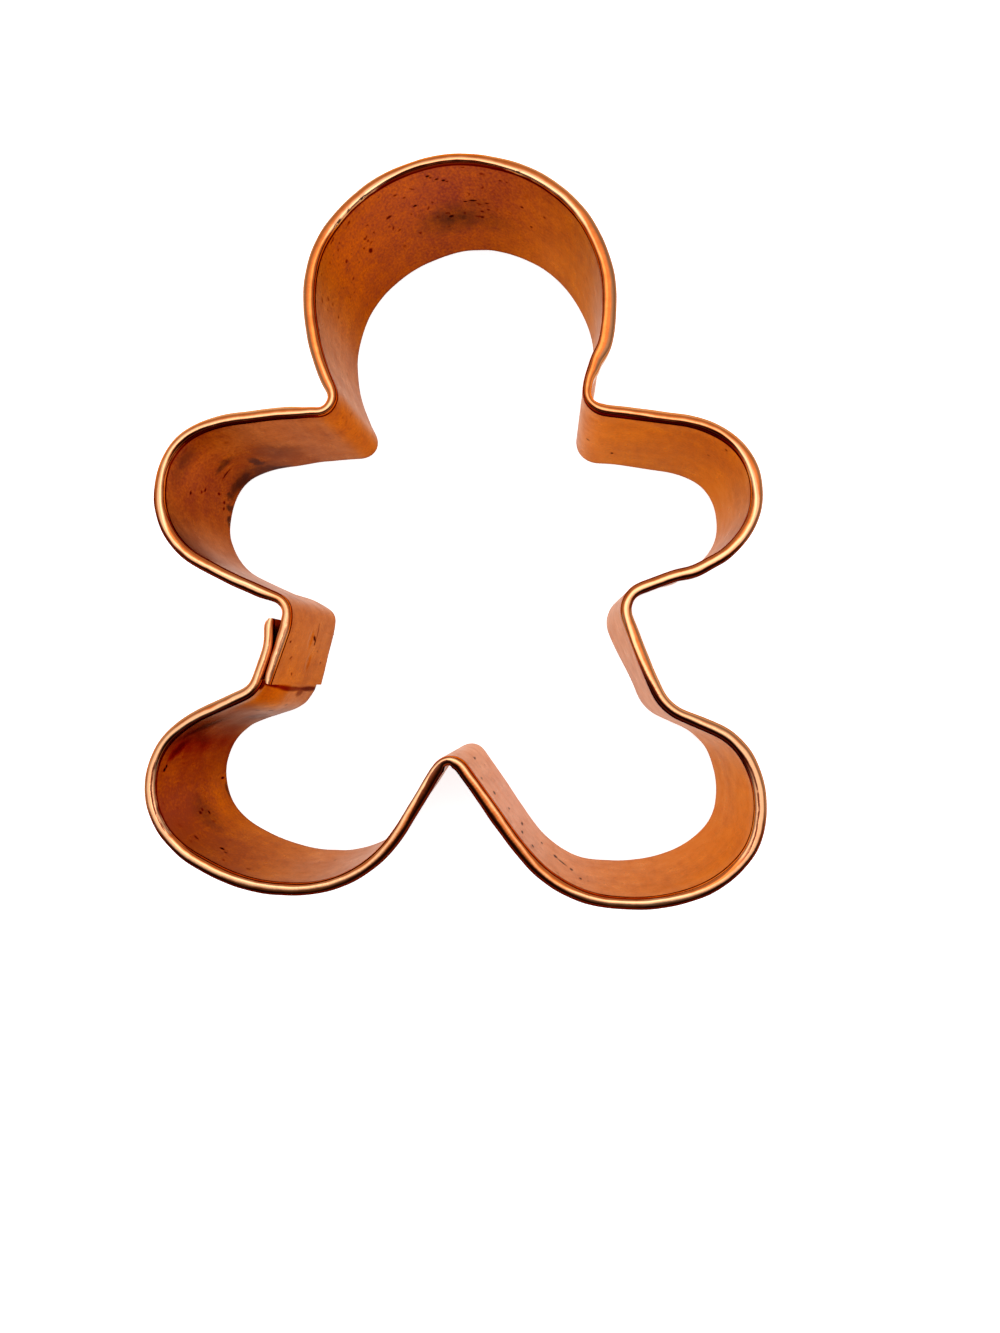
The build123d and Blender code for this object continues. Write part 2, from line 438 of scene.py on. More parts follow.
# A smooth curve through given values
def valueAt(table, distance):
    if distance <= table[0][0]:
        return table[0][1]
    for (start, low), (end, high) in zip(table, table[1:]):
        if distance <= end:
            share = (distance - start) / (end - start)
            return low + (high - low) * share * share * (3 - 2 * share)
    return table[-1][1]


def smooth(value, low, high):
    share = min(max((value - low) / (high - low), 0), 1)
    return share * share * (3 - 2 * share)


def outwardOf(stations, i):
    before, after = stations[max(i - 1, 0)][1], stations[min(i + 1, len(stations) - 1)][1]
    way = (after - before).normalized()
    return Vector((-way.y, way.x))


curvePoints = 24  # between two given places


# A line through given places, as points at an even step
def throughPlaces(places, count):
    curve = [Vector(place) for place in places]
    curve = [curve[0] * 2 - curve[1], *curve, curve[-1] * 2 - curve[-2]]
    fine = []
    for before, start, end, after in zip(curve, curve[1:], curve[2:], curve[3:]):
        for i in range(curvePoints):
            t = i / curvePoints
            fine.append(0.5 * (2 * start + (end - before) * t
                               + (2 * before - 5 * start + 4 * end - after) * t * t
                               + (3 * start - 3 * end + after - before) * t ** 3))
    fine.append(curve[-2])
    return evenPlaces(fine, distancesAlong(fine), count)


swells = ((1, 6.283, 1), (0.6, 14.9, 2.1), (0.4, 31.0, 3.7))  # height, radians in one length, shift


# Slow unevenness along the strip, between -1 and 1
def unevenness(distance, length, start):
    return sum(height * sin(distance / length * turn + shift * start) for height, turn, shift in swells) / 2


# Middle line of the sheet in section, from the cutting edge over the crown to the flap's edge. Each
# row is its place across, its height, how much of the foot's shift it takes and its place from the crest
def sectionLine(spec, distance, closing):
    half = spec["sheet"] / 2
    waver = spec["waver"]
    width = valueAt(spec["rim"], distance)
    width *= 1 + spec["widthWaver"] * waver * unevenness(distance, *spec["widthWave"])
    span = width - spec["sheet"]
    peak = span * (valueAt(spec["crownShare"], distance) + waver * unevenness(distance, *spec["crownWave"]))
    crown = valueAt(spec["crownHeight"], distance)
    rise = spec["height"] - half - crown
    crease = valueAt(spec["crease"], distance)
    creasePlace = peak - valueAt(spec["creaseReach"], distance) - spec["creaseShift"]
    flapEdge = spec["height"] - spec["rimDepth"]
    top = spec["straightTop"]
    rows = []
    heights = [*spec["footHeights"], *spec["dimpleHeights"], *spec["upperHeights"], flapEdge, *spec["flapHeights"]]
    for height in heights:
        hinge = min(max((flapEdge - height) / (flapEdge - closing), 0), 1)
        hinge = 1 - (1 - hinge) ** (1 + closing / spec["footEasing"])
        if height >= top:
            height = top + (height - top) / spec["straightRest"] * (rise - top)
        rows.append((0, height, hinge, -peak))
    for i in range(1, spec["crownSteps"] + 1):
        angle = pi * i / spec["crownSteps"]
        inner = angle < pi / 2
        across = peak - (peak if inner else span - peak) * cos(angle)
        power = 2 + spec["creaseSquareness"] * crease if inner else 2
        lift = (1 - abs(cos(angle)) ** power) ** (1 / power)
        dip = crease * exp(-((across - creasePlace) / (spec["creaseWidth"] * span)) ** 2)
        rows.append((across, rise + crown * lift - dip, 0, across - peak))
    flapWaver = spec["flapWaver"]
    spread = valueAt(spec["spread"], distance) - flapWaver
    spread += flapWaver * unevenness(distance, *spec["spreadWave"])
    edge = flapEdge + flapWaver * unevenness(distance, *spec["flapWave"])
    for i in range(1, spec["flapSteps"] + 1):
        share = i / spec["flapSteps"]
        across = span + spread * share * share * (span / spec["spreadWidth"])
        rows.append((across, rise + (edge - rise) * share, 0, across - peak))
    return rows


def makeStrip(spec):
    stations = easedLine(spec)
    total = stations[-1][0]
    half = spec["sheet"] / 2
    footPoints = spec["footPoints"]
    innerFoot = throughPlaces(spec["innerFoot"], footPoints)
    outerFoot = throughPlaces(spec["outerFoot"], footPoints)
    bm = bmesh.new()
    placeLayer = bm.verts.layers.float_vector.new("stripPlace")
    rimLayer = bm.verts.layers.float_vector.new("rimPlace")
    rings = []
    for i, (distance, place) in enumerate(stations):
        out = outwardOf(stations, i)
        left = total - distance
        shift = out * -valueAt(spec["lean"], distance)
        sway = out * valueAt(spec["sway"], distance)
        if distance < spec["innerFootRun"]:
            foot = innerFoot[round(footPoints * distance / spec["innerFootRun"])]
            share = 1 - smooth(distance, spec["innerFootRun"] - spec["footBlend"], spec["innerFootRun"])
            shift = shift.lerp(foot - place, share)
        if left < spec["outerFootRun"]:
            foot = outerFoot[round(footPoints * (1 - left / spec["outerFootRun"]))]
            share = 1 - smooth(left, spec["outerFootRun"] - spec["footBlend"], spec["outerFootRun"])
            shift = shift.lerp(foot - place, share)
        closing = spec["closingHeight"] * (1 - smooth(left, *spec["closingFade"]))
        rows = sectionLine(spec, distance, closing)
        faces = []
        length = 0
        for k, (across, height, hinge, fromCrest) in enumerate(rows):
            before, after = rows[max(k - 1, 0)], rows[min(k + 1, len(rows) - 1)]
            run = hypot(after[0] - before[0], after[1] - before[1])
            normal = ((after[1] - before[1]) / run, -(after[0] - before[0]) / run)
            if k:
                length += hypot(across - rows[k - 1][0], height - rows[k - 1][1])
            rounding = spec["cutRounding"] if k in (0, len(rows) - 1) else 1
            for side in (-1, 1):
                outset, upset = normal[0] * half * side, normal[1] * half * side
                u = across + outset * rounding
                z = height + upset * rounding
                if side < 0 and distance < spec["dimplesEnd"]:
                    for markDistance, markHeight in spec["dimples"]:
                        away = hypot(distance - markDistance, height - markHeight) / spec["dimpleRadius"]
                        u += spec["dimpleDepth"] * (1 - smooth(away, *spec["dimpleEdge"]))
                spot = place + out * u + sway * (1 - hinge) + shift * hinge
                vert = bm.verts.new(Vector((spot.x, spot.y, z)) * mm)
                vert[placeLayer] = (distance, length, side)
                vert[rimLayer] = (across + half + outset, fromCrest + outset, 0)
                faces.append(vert)
        rings.append((faces[0::2], faces[1::2]))
    for (innerA, outerA), (innerB, outerB) in zip(rings, rings[1:]):
        for k in range(len(innerA) - 1):
            bm.faces.new((innerA[k], innerA[k + 1], innerB[k + 1], innerB[k]))
            bm.faces.new((outerA[k], outerB[k], outerB[k + 1], outerA[k + 1]))
        bm.faces.new((innerA[0], innerB[0], outerB[0], outerA[0]))
        bm.faces.new((innerA[-1], outerA[-1], outerB[-1], innerB[-1]))
    for flip, (innerSide, outerSide) in ((False, rings[0]), (True, rings[-1])):
        for k in range(len(innerSide) - 1):
            corners = [innerSide[k], outerSide[k], outerSide[k + 1], innerSide[k + 1]]
            bm.faces.new(corners[::-1] if flip else corners)
    bmesh.ops.recalc_face_normals(bm, faces=bm.faces)
    for face in bm.faces:
        face.smooth = True
    for edge in bm.edges:
        if edge.calc_face_angle(0) > radians(spec["sharpAngle"]):
            edge.smooth = False
    mesh = bpy.data.meshes.new("bentStrip")
    bm.to_mesh(mesh)
    bm.free()
    piece = bpy.data.objects.new("bentStrip", mesh)
    scene.collection.objects.link(piece)
    return piece


bentStrip = makeStrip(strip)
print("strip bent:", len(bentStrip.data.vertices), "points")


# Copper, as colours at the plain light level
copper = {
    "clean": (0.52, 0.095, 0.021),
    "tarnished": (0.185, 0.032, 0.030),
    "tarnishedOutside": (0.20, 0.042, 0.015),
    "soot": (0.11, 0.038, 0.016),
    "polishedHighlight": (0.67, 0.36, 0.19),    # the crown of the rim, where hands rub it, with its highlight colour painted on
    "rimClean": (0.62, 0.155, 0.034),
    "rimTarnish": (0.38, 0.07, 0.010),
    # The rim's outer flank, painted: a dark reflection where its outer side is shaded, a pale reflection of the
    # floor elsewhere
    "rimFlank": (0.17, 0.028, 0.005),
    "rimEdge": (0.58, 0.27, 0.12),
    "paintedShade": (0.09, 0.010, 0.003),      # painted shade and dark reflections on the rim: its sides, its edge lines and its crease
    "stain": (0.060, 0.025, 0.017),
    # Dark of the pits, also of the painted shadow line at the lap
    "pitAndShadow": (0.040, 0.013, 0.007),
    "paleTint": (0.80, 0.68, 0.52),     # metal seen at a slant
    "warmTint": (0.76, 0.48, 0.17),
    "tarnishedTint": (0.74, 0.46, 0.34),
    "sootTint": (0.44, 0.20, 0.085),
    "stainTint": (0.48, 0.39, 0.38),
    "pitAndShadowTint": (0.28, 0.15, 0.10),
    "rimTint": (0.80, 0.38, 0.12),
    # Slant tint of the painted shade on the rim
    "paintedShadeTint": (0.14, 0.04, 0.02),
    "wallRoughness": 0.30,
    "rimRoughness": 0.12,
    "bumpStrength": 0.2,
    "bumpDepth": 0.00008,               # m
    # Noises: how close along the strip, up the wall and from face to face, and their detail
    "noises": {
        "clouds": ((0.14, 0.14, 3), 2),
        "mottle": ((0.55, 0.35, 3), 4),
        "streaks": ((1.3, 0.10, 3), 3),
        "grain": ((3.0, 1.6, 3), 4),
        "spots": ((2.4, 2.0, 3), 1),
        "waves": ((0.6, 1.6, 3), 4),
        "dashes": ((0.9, 9.0, 3), 2),
    },
    # How much each thing changes another
    "amounts": {
        "clouds": 0.7,  # the wall's tarnish
        "mottle": 0.5,
        "streaks": 0.35,
        "grain": 0.9,
        "speckGrain": 0.5,
        "cutEdge": 0.35,
        "warp": 1.8,  # mm, ragged edges of stains
        "specks": 0.12,
        "speckStrength": 0.9,
        "dotStrength": 0.6,
        "rubbedMottle": 0.35,  # mm, edges on the rim
        "unrubbed": 0.35,
        "wavySide": 0.35,
        "wavyCrest": 0.25,
        "wavyLine": 0.4,
        "roughMottle": 0.16,
        "bumpGrain": 0.7,
    },
    "dotSpacing": (0.9, 0.6, 3),
    "warpNoise": (0.8, 4),              # scale and detail
    "sootClouds": (1.6, 0.2),           # how the clouds break up the soot
    "rubbedHighlightShift": 0.02,                # mm from the crest to the middle of the rubbed band and its painted highlight
    "ridgeReach": 0.2,                  # mm from the crease to the second ridge, where a highlight is painted too
    # Where a look begins and where it is full, in mm or as a share, and its strength at both
    "bands": {
        "cutEdge": (0.9, 0),
        "foot": (18, 3, -0.5, 0.5),
        "inside": (0.5, -0.5),
        "speck": (0.80, 0.85),
        "speckHeight": (6, 13, 0.2, 1),
        "dot": (0.26, 0.1),
        "dotChance": (0.55, 0.6),
        "dotHeight": (6, 11, 0.1, 1),
        "dotted": (0.25, 0.9),
        "dirt": (0.3, 0.6, 0.7, 1),
        "rubbedHighlight": (0.43, 0.23),
        "ridge": (0.3, 0.16),
        "ridged": (0.45, 0.8),
        "rimTarnish": (0.35, 0.75, 0, 0.5),
        "flankShaded": (0, 0.45),
        "flank": (0.92, 1.15),
        "innerDark": (-0.10, -0.28),
        "outerDark": (0.90, 1.04),
        "innerLine": (0.32, 0.12, 0, 0.95),
        "outerLine": (1.30, 1.40),
        "outerLined": (0, 0.6, 0.1, 0.7),
        "crease": (0.15, 0.07),
        "dash": (0.32, 0.46),
        "onRim": (-0.1, 0.05),
        "nearRim": (-0.45, -0.2),
    },
    # Soft edges of the marks, as shares of their half sizes
    "shadeEdge": (1.0, 0),
    "stainEdge": (1.15, 0.4),
    "burnEdge": (1.2, 0.3),
    "pitEdge": (1.1, 0.4),
    # Share of specks, as a table along the strip like those below
    "specks": [
        (0, 0.2), (12, 0), (26, 0.3), (44, 0.5), (52, 0.2), (60, 0.6), (70, 1), (84, 0.9), (96, 0.75),
        (104, 0.5), (112, 0.2), (200, 0.1), (228, 0.2), (238, 0.7), (258, 0.7), (264, 0.2), (288, 0.2),
        (296, 0.6), (312, 0.5), (336, 0.2),
    ],
    "creaseReach": strip["creaseReach"],
    # Strength of the painted shade line in the crown's crease
    "creaseLine": [
        (0, 0.6), (6, 0.7), (9, 0.3), (11, 0), (60, 0), (62, 0.5), (67, 0.4), (70, 0), (182, 0), (184, 0.7),
        (190, 0.4), (196, 0), (205, 0), (207, 0.95), (217, 0.9), (222, 0), (301, 0), (304, 0.95), (311, 0.95),
        (314, 0), (326, 0), (329, 0.5), (334, 0.5), (336, 0),
    ],
    # How far in from the rim's outer edge the painted dark reflection reaches
    "outerReach": [
        (0, 0), (232, 0), (242, 0.08), (258, 0.1), (260.5, 0.2), (261.2, 0.6), (263, 0.55), (266, 0.5),
        (271, 0.1), (290, 0),
    ],
    # Height of the painted shade line between wall and rim
    "lineLevel": [
        (0, 24.6), (28, 24.55), (36, 24.75), (52, 24.75), (60, 24.5), (78, 24.65), (86, 24.85), (104, 24.85),
        (112, 24.65), (120, 24.5), (136, 24.6), (142, 24.7), (154, 24.7), (162, 24.55), (230, 24.6),
        (244, 24.45), (258, 24.45), (284, 24.5), (298, 24.45), (303, 24.85), (316, 24.85), (326, 24.6),
    ],
    # How tarnished the wall is, together with painted shade where it mirrors shaded floor
    "tarnishAndShade": [
        (0, 0.44), (9, 0.48), (12, 0.3), (20, 0.4), (26, 0.65), (34, 0.84), (44, 0.88), (50, 0.68), (60, 0.4),
        (70, 0.52), (82, 0.6), (98, 0.72), (110, 0.42), (118, 0.3), (124, 0.25), (132, 0.05), (142, 0.25),
        (150, 0.36), (158, 0.08), (168, 0.15), (190, 0.25), (206, 0.15), (220, 0.02), (232, 0.18), (242, 0.12),
        (250, 0.1), (262, 0.2), (276, 0.4), (288, 0.5), (296, 0.74), (303, 0.8), (310, 0.86), (316, 0.9),
        (322, 0.8), (326, 0.5), (336, 0.5),
    ],
    # Brown soot over it
    "sootiness": [
        (0, 0), (34, 0), (38, 0.06), (44, 0.06), (50, 0), (306, 0), (311, 0.25), (315, 0.6), (319, 0.75),
        (323, 0.5), (326, 0),
    ],
    # How much darker it is made at the foot than at the top
    "footDarkening": [
        (0, 0.1), (12, -0.1), (24, -0.35), (32, -0.1), (38, 0.25), (48, 0.25), (58, 0), (72, 0.05), (84, 0.1),
        (96, -0.05), (108, -0.35), (120, -0.2), (132, 0), (144, 0), (156, -0.4), (168, -0.1), (204, 0.05),
        (216, -0.16), (240, -0.1), (276, 0), (288, -0.25), (300, -0.4), (306, -0.3), (312, 0), (336, 0.1),
    ],
    # How warm the metal looks at a slant
    "warmth": [
        (0, 0.5), (22, 0.3), (50, 0.25), (60, 0.5), (70, 0.35), (80, 0.7), (92, 0.55), (108, 0.35), (118, 0.9),
        (124, 0.8), (130, 0.3), (136, 0.3), (142, 0.6), (150, 0.6), (156, 0.65), (165, 0.5), (178, 0.42),
        (196, 0.42), (202, 0.9), (208, 0.85), (216, 0.6), (230, 0.55), (240, 0.42), (252, 0.1), (262, 0.3),
        (276, 0.55), (336, 0.55),
    ],
    # How polished the rim's crown is, which also sets how strong its painted highlight is
    "polishAndHighlight": [
        (0, 0.8), (8, 0.85), (11, 0.5), (15, 0.95), (24, 0.75), (30, 0.95), (36, 0.7), (50, 0.6), (57, 0.7),
        (61, 0.35), (66, 0.05), (76, 0.02), (81, 0.8), (86, 0.95), (92, 0.6), (100, 0.6), (106, 0.9),
        (112, 0.85), (117, 0.3), (121, 0.03), (132, 0.05), (138, 0.4), (152, 0.35), (158, 0.85), (172, 0.75),
        (182, 0.75), (190, 0.6), (206, 0.85), (214, 0.8), (222, 0.6), (230, 0.9), (238, 0.7), (242, 0.4),
        (250, 0.4), (256, 0.5), (263, 0.85), (272, 0.65), (284, 0.75), (290, 0.85), (303, 0.85), (310, 0.8),
        (318, 0.9), (324, 0.9), (328, 0.8), (336, 0.8),
    ],
    # How dark the rim's inner side is painted, and its outer side: painted shade and dark reflections
    "innerShade": [
        (0, 0.3), (35, 0.2), (39, 1), (52, 1), (58, 0.3), (82, 0.4), (88, 1), (104, 1), (110, 0.6), (116, 0.3),
        (134, 0.2), (139, 1), (154, 1), (160, 0.2), (188, 0.3), (193, 1), (207, 1), (212, 0.2), (306, 0.2),
        (312, 0.6), (315, 1), (326, 1), (328, 0.3),
    ],
    "outerShade": [
        (0, 0.12), (9, 0.15), (12, 0.9), (26, 0.7), (36, 0.1), (54, 0.05), (62, 0.2), (78, 0.15), (86, 0.05),
        (110, 0.1), (118, 0.2), (136, 0.2), (142, 0.1), (158, 0.15), (166, 0.3), (170, 0.9), (180, 0.9),
        (184, 0.2), (190, 0.15), (212, 0.2), (216, 0.4), (222, 0.9), (300, 0.9), (308, 0.2), (336, 0.12),
    ],
}

# Soft shadows of tarnish on the inside of the wall, each as its distance along the strip, height, half
# length, half height, strength and, if it is turned, by how many degrees
wallShades = [
    (95.2, 10.9, 7.5, 6.2, 0.85), (98.5, 10.2, 7.0, 5.0, 0.45, -8), (98.2, 14.6, 3.2, 2.6, 0.5),
    (46.4, 9.6, 5.2, 6.4, 0.4), (36.6, 22.0, 5.0, 4.0, 0.6), (41.0, 3.0, 6.0, 4.8, 0.8),
    (303.6, 12.0, 4.5, 5.0, 0.55),
]
# Stains with ragged edges, the same way
wallStains = [
    # head
    (95.3, 10.8, 2.5, 1.9, 0.92), (93.6, 10.2, 1.5, 1.0, 0.7), (97.2, 12.2, 1.6, 0.6, 0.6),
    # left arm, at the foot
    (38.3, 2.3, 3.4, 2.6, 1, 12), (41.8, 2.3, 2.8, 3.2, 0.8), (42.4, 6.2, 0.8, 3.4, 0.9, 8),
    (43.6, 0.9, 2.6, 1.3, 1), (40.0, 0.5, 4.0, 1.2, 0.95), (35.6, 2.6, 0.8, 2.0, 0.9),
    (33.9, 1.6, 0.8, 1.9, 0.85), (32.0, 0.9, 0.8, 1.4, 1),
    # left arm, half way up
    (38.9, 11.6, 2.0, 1.3, 0.85, 28),
    # left leg
    (305.9, 0.9, 1.3, 0.7, 0.8),
]
# Burnt streaks beside the lap, the same way
burntStreaks = [
    (317.4, 19.4, 4.6, 1.5, 0.75, -59), (313.6, 20.4, 2.6, 1.3, 0.55, -50), (320.6, 7.0, 1.2, 5.5, 0.45),
    (315.0, 15.0, 1.4, 6.0, 0.35, -20),
]
# Pits and scratches, the same way, and a painted shadow line under the inner end's cut edge
pitsAndSeamShadow = [
    (98.0, 15.5, 0.65, 0.26, 1), (97.0, 15.2, 0.32, 0.24, 0.9), (94.8, 11.5, 0.4, 0.4, 1),
    (93.0, 23.0, 0.32, 0.3, 1), (93.3, 22.5, 0.22, 0.22, 0.7), (94.0, 21.8, 0.32, 0.26, 0.9),
    (94.8, 21.2, 0.32, 0.3, 1), (95.2, 20.8, 0.25, 0.25, 0.6), (90.5, 17.0, 0.32, 0.32, 1),
    (86.8, 17.5, 0.5, 0.4, 0.8), (82.8, 13.5, 0.4, 0.8, 0.8), (102.0, 22.0, 0.3, 0.22, 0.7),
    (102.8, 22.0, 0.22, 0.22, 0.6), (98.9, 10.8, 0.32, 0.32, 0.8), (99.0, 12.5, 0.3, 0.3, 0.7),
    (99.8, 15.0, 0.32, 0.26, 0.8), (99.9, 13.2, 0.26, 0.3, 0.6), (88.5, 21.5, 0.3, 0.3, 0.6),
    (89.5, 20.0, 0.26, 0.26, 0.6), (79.0, 17.0, 0.3, 0.5, 0.6), (104.6, 16.6, 0.3, 0.3, 0.8),
    (105.8, 12.0, 0.25, 0.25, 0.8), (107.9, 17.0, 0.25, 0.3, 0.7), (38.0, 8.5, 1.3, 0.3, 0.75, 14),
    (34.5, 12.0, 0.35, 0.4, 0.7), (33.2, 16.5, 0.32, 0.4, 0.8), (34.0, 13.0, 0.25, 0.4, 0.5),
    (35.0, 7.0, 0.25, 0.7, 0.6), (34.2, 4.2, 0.3, 0.5, 0.7), (33.3, 3.8, 0.3, 0.5, 0.7),
    (311.1, 22.2, 0.35, 0.4, 1), (310.7, 22.6, 0.32, 0.5, 1), (307.8, 1.8, 0.25, 0.8, 0.9),
    (303.5, 10.5, 0.35, 0.4, 0.9), (303.9, 13.3, 0.3, 0.5, 0.7), (304.2, 12.2, 0.3, 0.4, 0.5),
    (300.9, 20.0, 0.5, 0.32, 0.75), (297.8, 17.8, 0.42, 0.5, 1), (297.0, 18.5, 0.3, 0.3, 0.8),
    (293.0, 21.0, 0.3, 0.3, 0.7), (284.7, 8.7, 0.2, 0.4, 0.9), (312.2, 21.8, 0.3, 0.4, 0.5),
    (137.7, 10.9, 0.3, 0.3, 0.9), (141.0, 6.7, 0.25, 0.5, 1), (153.0, 16.0, 0.25, 0.25, 0.8),
    (154.5, 22.4, 0.25, 0.3, 0.8), (242.2, 11.6, 0.4, 1.2, 1), (241.2, 12.7, 1.3, 0.5, 1, -50),
    (239.8, 14.2, 0.3, 1.0, 1), (248.5, 13.8, 0.25, 1.5, 1), (248.1, 19.2, 0.25, 1.2, 1),
    (246.0, 19.8, 0.3, 0.9, 1), (254.0, 19.2, 0.32, 0.9, 1), (258.8, 14.8, 0.25, 1.2, 0.9),
    (244.6, 10.2, 0.25, 0.9, 1), (238.6, 18.0, 0.25, 0.8, 0.9), (251.2, 16.0, 0.22, 0.9, 0.9),
    (256.4, 21.0, 0.22, 0.8, 0.9), (6.3, 11.0, 0.34, 1.1, 0.9, -15), (5.8, 10.1, 0.6, 0.4, 0.9),
    (7.3, 10.0, 1.5, 0.26, 0.6), (5.5, 22.6, 0.2, 0.5, 0.7), (3.5, 19.9, 0.16, 0.7, 0.6, 20),
    (1.4, 17.1, 0.2, 0.5, 0.65, -30), (3.1, 3.8, 0.24, 0.4, 0.7, 15), (4.6, 7.2, 0.16, 0.5, 0.5),
    # A painted shadow line where the inner end's cut edge stands off the outer end
    (327.9, 22.0, 0.45, 6.0, 0.72), (327.9, 14.0, 0.45, 9.0, 0.6), (327.9, 4.0, 0.45, 8.0, 0.75),
    (327.4, 23.8, 0.62, 1.2, 0.8), (327.5, 8.0, 0.9, 2.2, 0.5), (323.8, 11.4, 0.24, 1.2, 0.9),
    (323.2, 15.0, 0.24, 1.1, 0.6), (325.5, 10.2, 0.26, 0.5, 0.8),
]


# What the parts of each point attribute are: places on the strip, and listed looks along it
placeNames = {
    "stripPlace": ("distance", "length", "side"),
    "rimPlace": ("fromInner", "fromCrest"),
}
lookNames = {
    "wearAndPaintedLight": ("tarnishAndShade", "polishAndHighlight", "specks"),
    "rimShading": ("innerShade", "outerShade", "creaseLine"),
    "rimReach": ("outerReach", "lineLevel", "sootiness"),
    "wallHue": ("footDarkening", "warmth", "creaseReach"),
}


def addLooks(piece, spec):
    mesh = piece.data
    for name in lookNames:
        mesh.attributes.new(name, "FLOAT_VECTOR", "POINT")
    distances = [item.vector[0] for item in mesh.attributes["stripPlace"].data]
    for name, tables in lookNames.items():
        known = {distance: [valueAt(spec[table], distance) for table in tables] for distance in set(distances)}
        for item, distance in zip(mesh.attributes[name].data, distances):
            item.vector = known[distance]


# Each attribute and each of its parts, by name
def readLooks(tree):
    looks = {}
    for name, parts in {**placeNames, **lookNames}.items():
        node = addNode(tree, "ShaderNodeAttribute", attribute_name=name)
        split = addNode(tree, "ShaderNodeSeparateXYZ")
        plug(tree, node.outputs["Vector"], split.inputs[0])
        looks[name] = node.outputs["Vector"]
        looks.update(zip(parts, split.outputs))
    return looks


def vectorNode(tree, operation, first, second=None, third=None):
    node = addNode(tree, "ShaderNodeVectorMath", operation=operation)
    for socket, value in zip(node.inputs, (first, second, third)):
        if isinstance(value, tuple):
            socket.default_value = value
        elif value is not None:
            plug(tree, value, socket)
    return node.outputs["Value" if operation == "LENGTH" else "Vector"]


def noiseNode(tree, place, stretch, detail):
    noise = addNode(tree, "ShaderNodeTexNoise")
    noise.inputs["Scale"].default_value = 1
    noise.inputs["Detail"].default_value = detail
    plug(tree, vectorNode(tree, "MULTIPLY", place, stretch), noise.inputs["Vector"])
    return noise.outputs["Fac"]


def times(tree, first, second):
    return mathNode(tree, "MULTIPLY", first, second)


# A noise's swing about its middle, times an amount, on top of a value
def varied(tree, noise, amount, value):
    return mathNode(tree, "MULTIPLY_ADD", mathNode(tree, "SUBTRACT", noise, 0.5), amount, value)


# The wall's tarnish with painted shade where it mirrors shaded floor: cloudy, with a fine grain and faint upright
# streaks, dark towards the cut edge
def tarnishAndShadeShare(tree, spec, looks, noises):
    amounts, bands = spec["amounts"], spec["bands"]
    share = looks["tarnishAndShade"]
    for name in ("clouds", "mottle", "streaks"):
        share = varied(tree, noises[name], amounts[name], share)
    coarse = mathNode(tree, "MULTIPLY_ADD", looks["specks"], amounts["speckGrain"], amounts["grain"])
    grain = times(tree, mathNode(tree, "SUBTRACT", noises["grain"], 0.5), coarse)
    share = mathNode(tree, "ADD", grain, share)
    cutEdge = rangeNode(tree, looks["length"], *bands["cutEdge"])
    share = mathNode(tree, "MULTIPLY_ADD", cutEdge, amounts["cutEdge"], share)
    foot = rangeNode(tree, looks["length"], *bands["foot"])
    share = mathNode(tree, "MULTIPLY_ADD", foot, looks["footDarkening"], share)
    return mathNode(tree, "MAXIMUM", mathNode(tree, "MINIMUM", share, 1.0), 0.0)


# The wall's place, pushed about by a noise
def warpedPlace(tree, spec, place):
    wobble = addNode(tree, "ShaderNodeTexNoise")
    wobble.inputs["Scale"].default_value, wobble.inputs["Detail"].default_value = spec["warpNoise"]
    plug(tree, place, wobble.inputs["Vector"])
    push = spec["amounts"]["warp"]
    pushed = vectorNode(tree, "MULTIPLY_ADD", wobble.outputs["Color"], (push, push, 0), place)
    return vectorNode(tree, "SUBTRACT", pushed, (push / 2, push / 2, 0))


# Small specks of dirt, and dots that are deeper
def speckle(tree, spec, looks, noises, warped):
    amounts, bands = spec["amounts"], spec["bands"]
    specks, length = looks["specks"], looks["length"]
    spots = mathNode(tree, "MULTIPLY_ADD", specks, amounts["specks"], noises["spots"])
    speckled = times(tree, rangeNode(tree, spots, *bands["speck"]), rangeNode(tree, length, *bands["speckHeight"]))
    dirt = times(tree, speckled, times(tree, specks, amounts["speckStrength"]))
    dots = addNode(tree, "ShaderNodeTexVoronoi")
    dots.inputs["Scale"].default_value = 1
    plug(tree, vectorNode(tree, "MULTIPLY", warped, spec["dotSpacing"]), dots.inputs["Vector"])
    chance = addNode(tree, "ShaderNodeSeparateColor")
    plug(tree, dots.outputs["Color"], chance.inputs[0])
    dotted = times(tree, rangeNode(tree, dots.outputs["Distance"], *bands["dot"]),
                   rangeNode(tree, chance.outputs[0], *bands["dotChance"]))
    dotted = times(tree, dotted, rangeNode(tree, length, *bands["dotHeight"]))
    strength = times(tree, rangeNode(tree, specks, *bands["dotted"]), amounts["dotStrength"])
    return dirt, times(tree, dotted, strength)


# Listed marks over what is already marked
def addMarks(tree, marked, position, marks, edge):
    for markDistance, markHeight, halfLength, halfHeight, strength, *turn in marks:
        offset = vectorNode(tree, "SUBTRACT", position, (markDistance, markHeight, -1))
        if turn:
            turned = addNode(tree, "ShaderNodeVectorRotate", rotation_type="Z_AXIS")
            plug(tree, offset, turned.inputs["Vector"])
            turned.inputs["Angle"].default_value = radians(-turn[0])
            offset = turned.outputs[0]
        scaled = vectorNode(tree, "MULTIPLY", offset, (1 / halfLength, 1 / halfHeight, 1))
        mark = rangeNode(tree, vectorNode(tree, "LENGTH", scaled), *edge, 0, strength)
        marked = mathNode(tree, "MAXIMUM", marked, mark)
    return marked
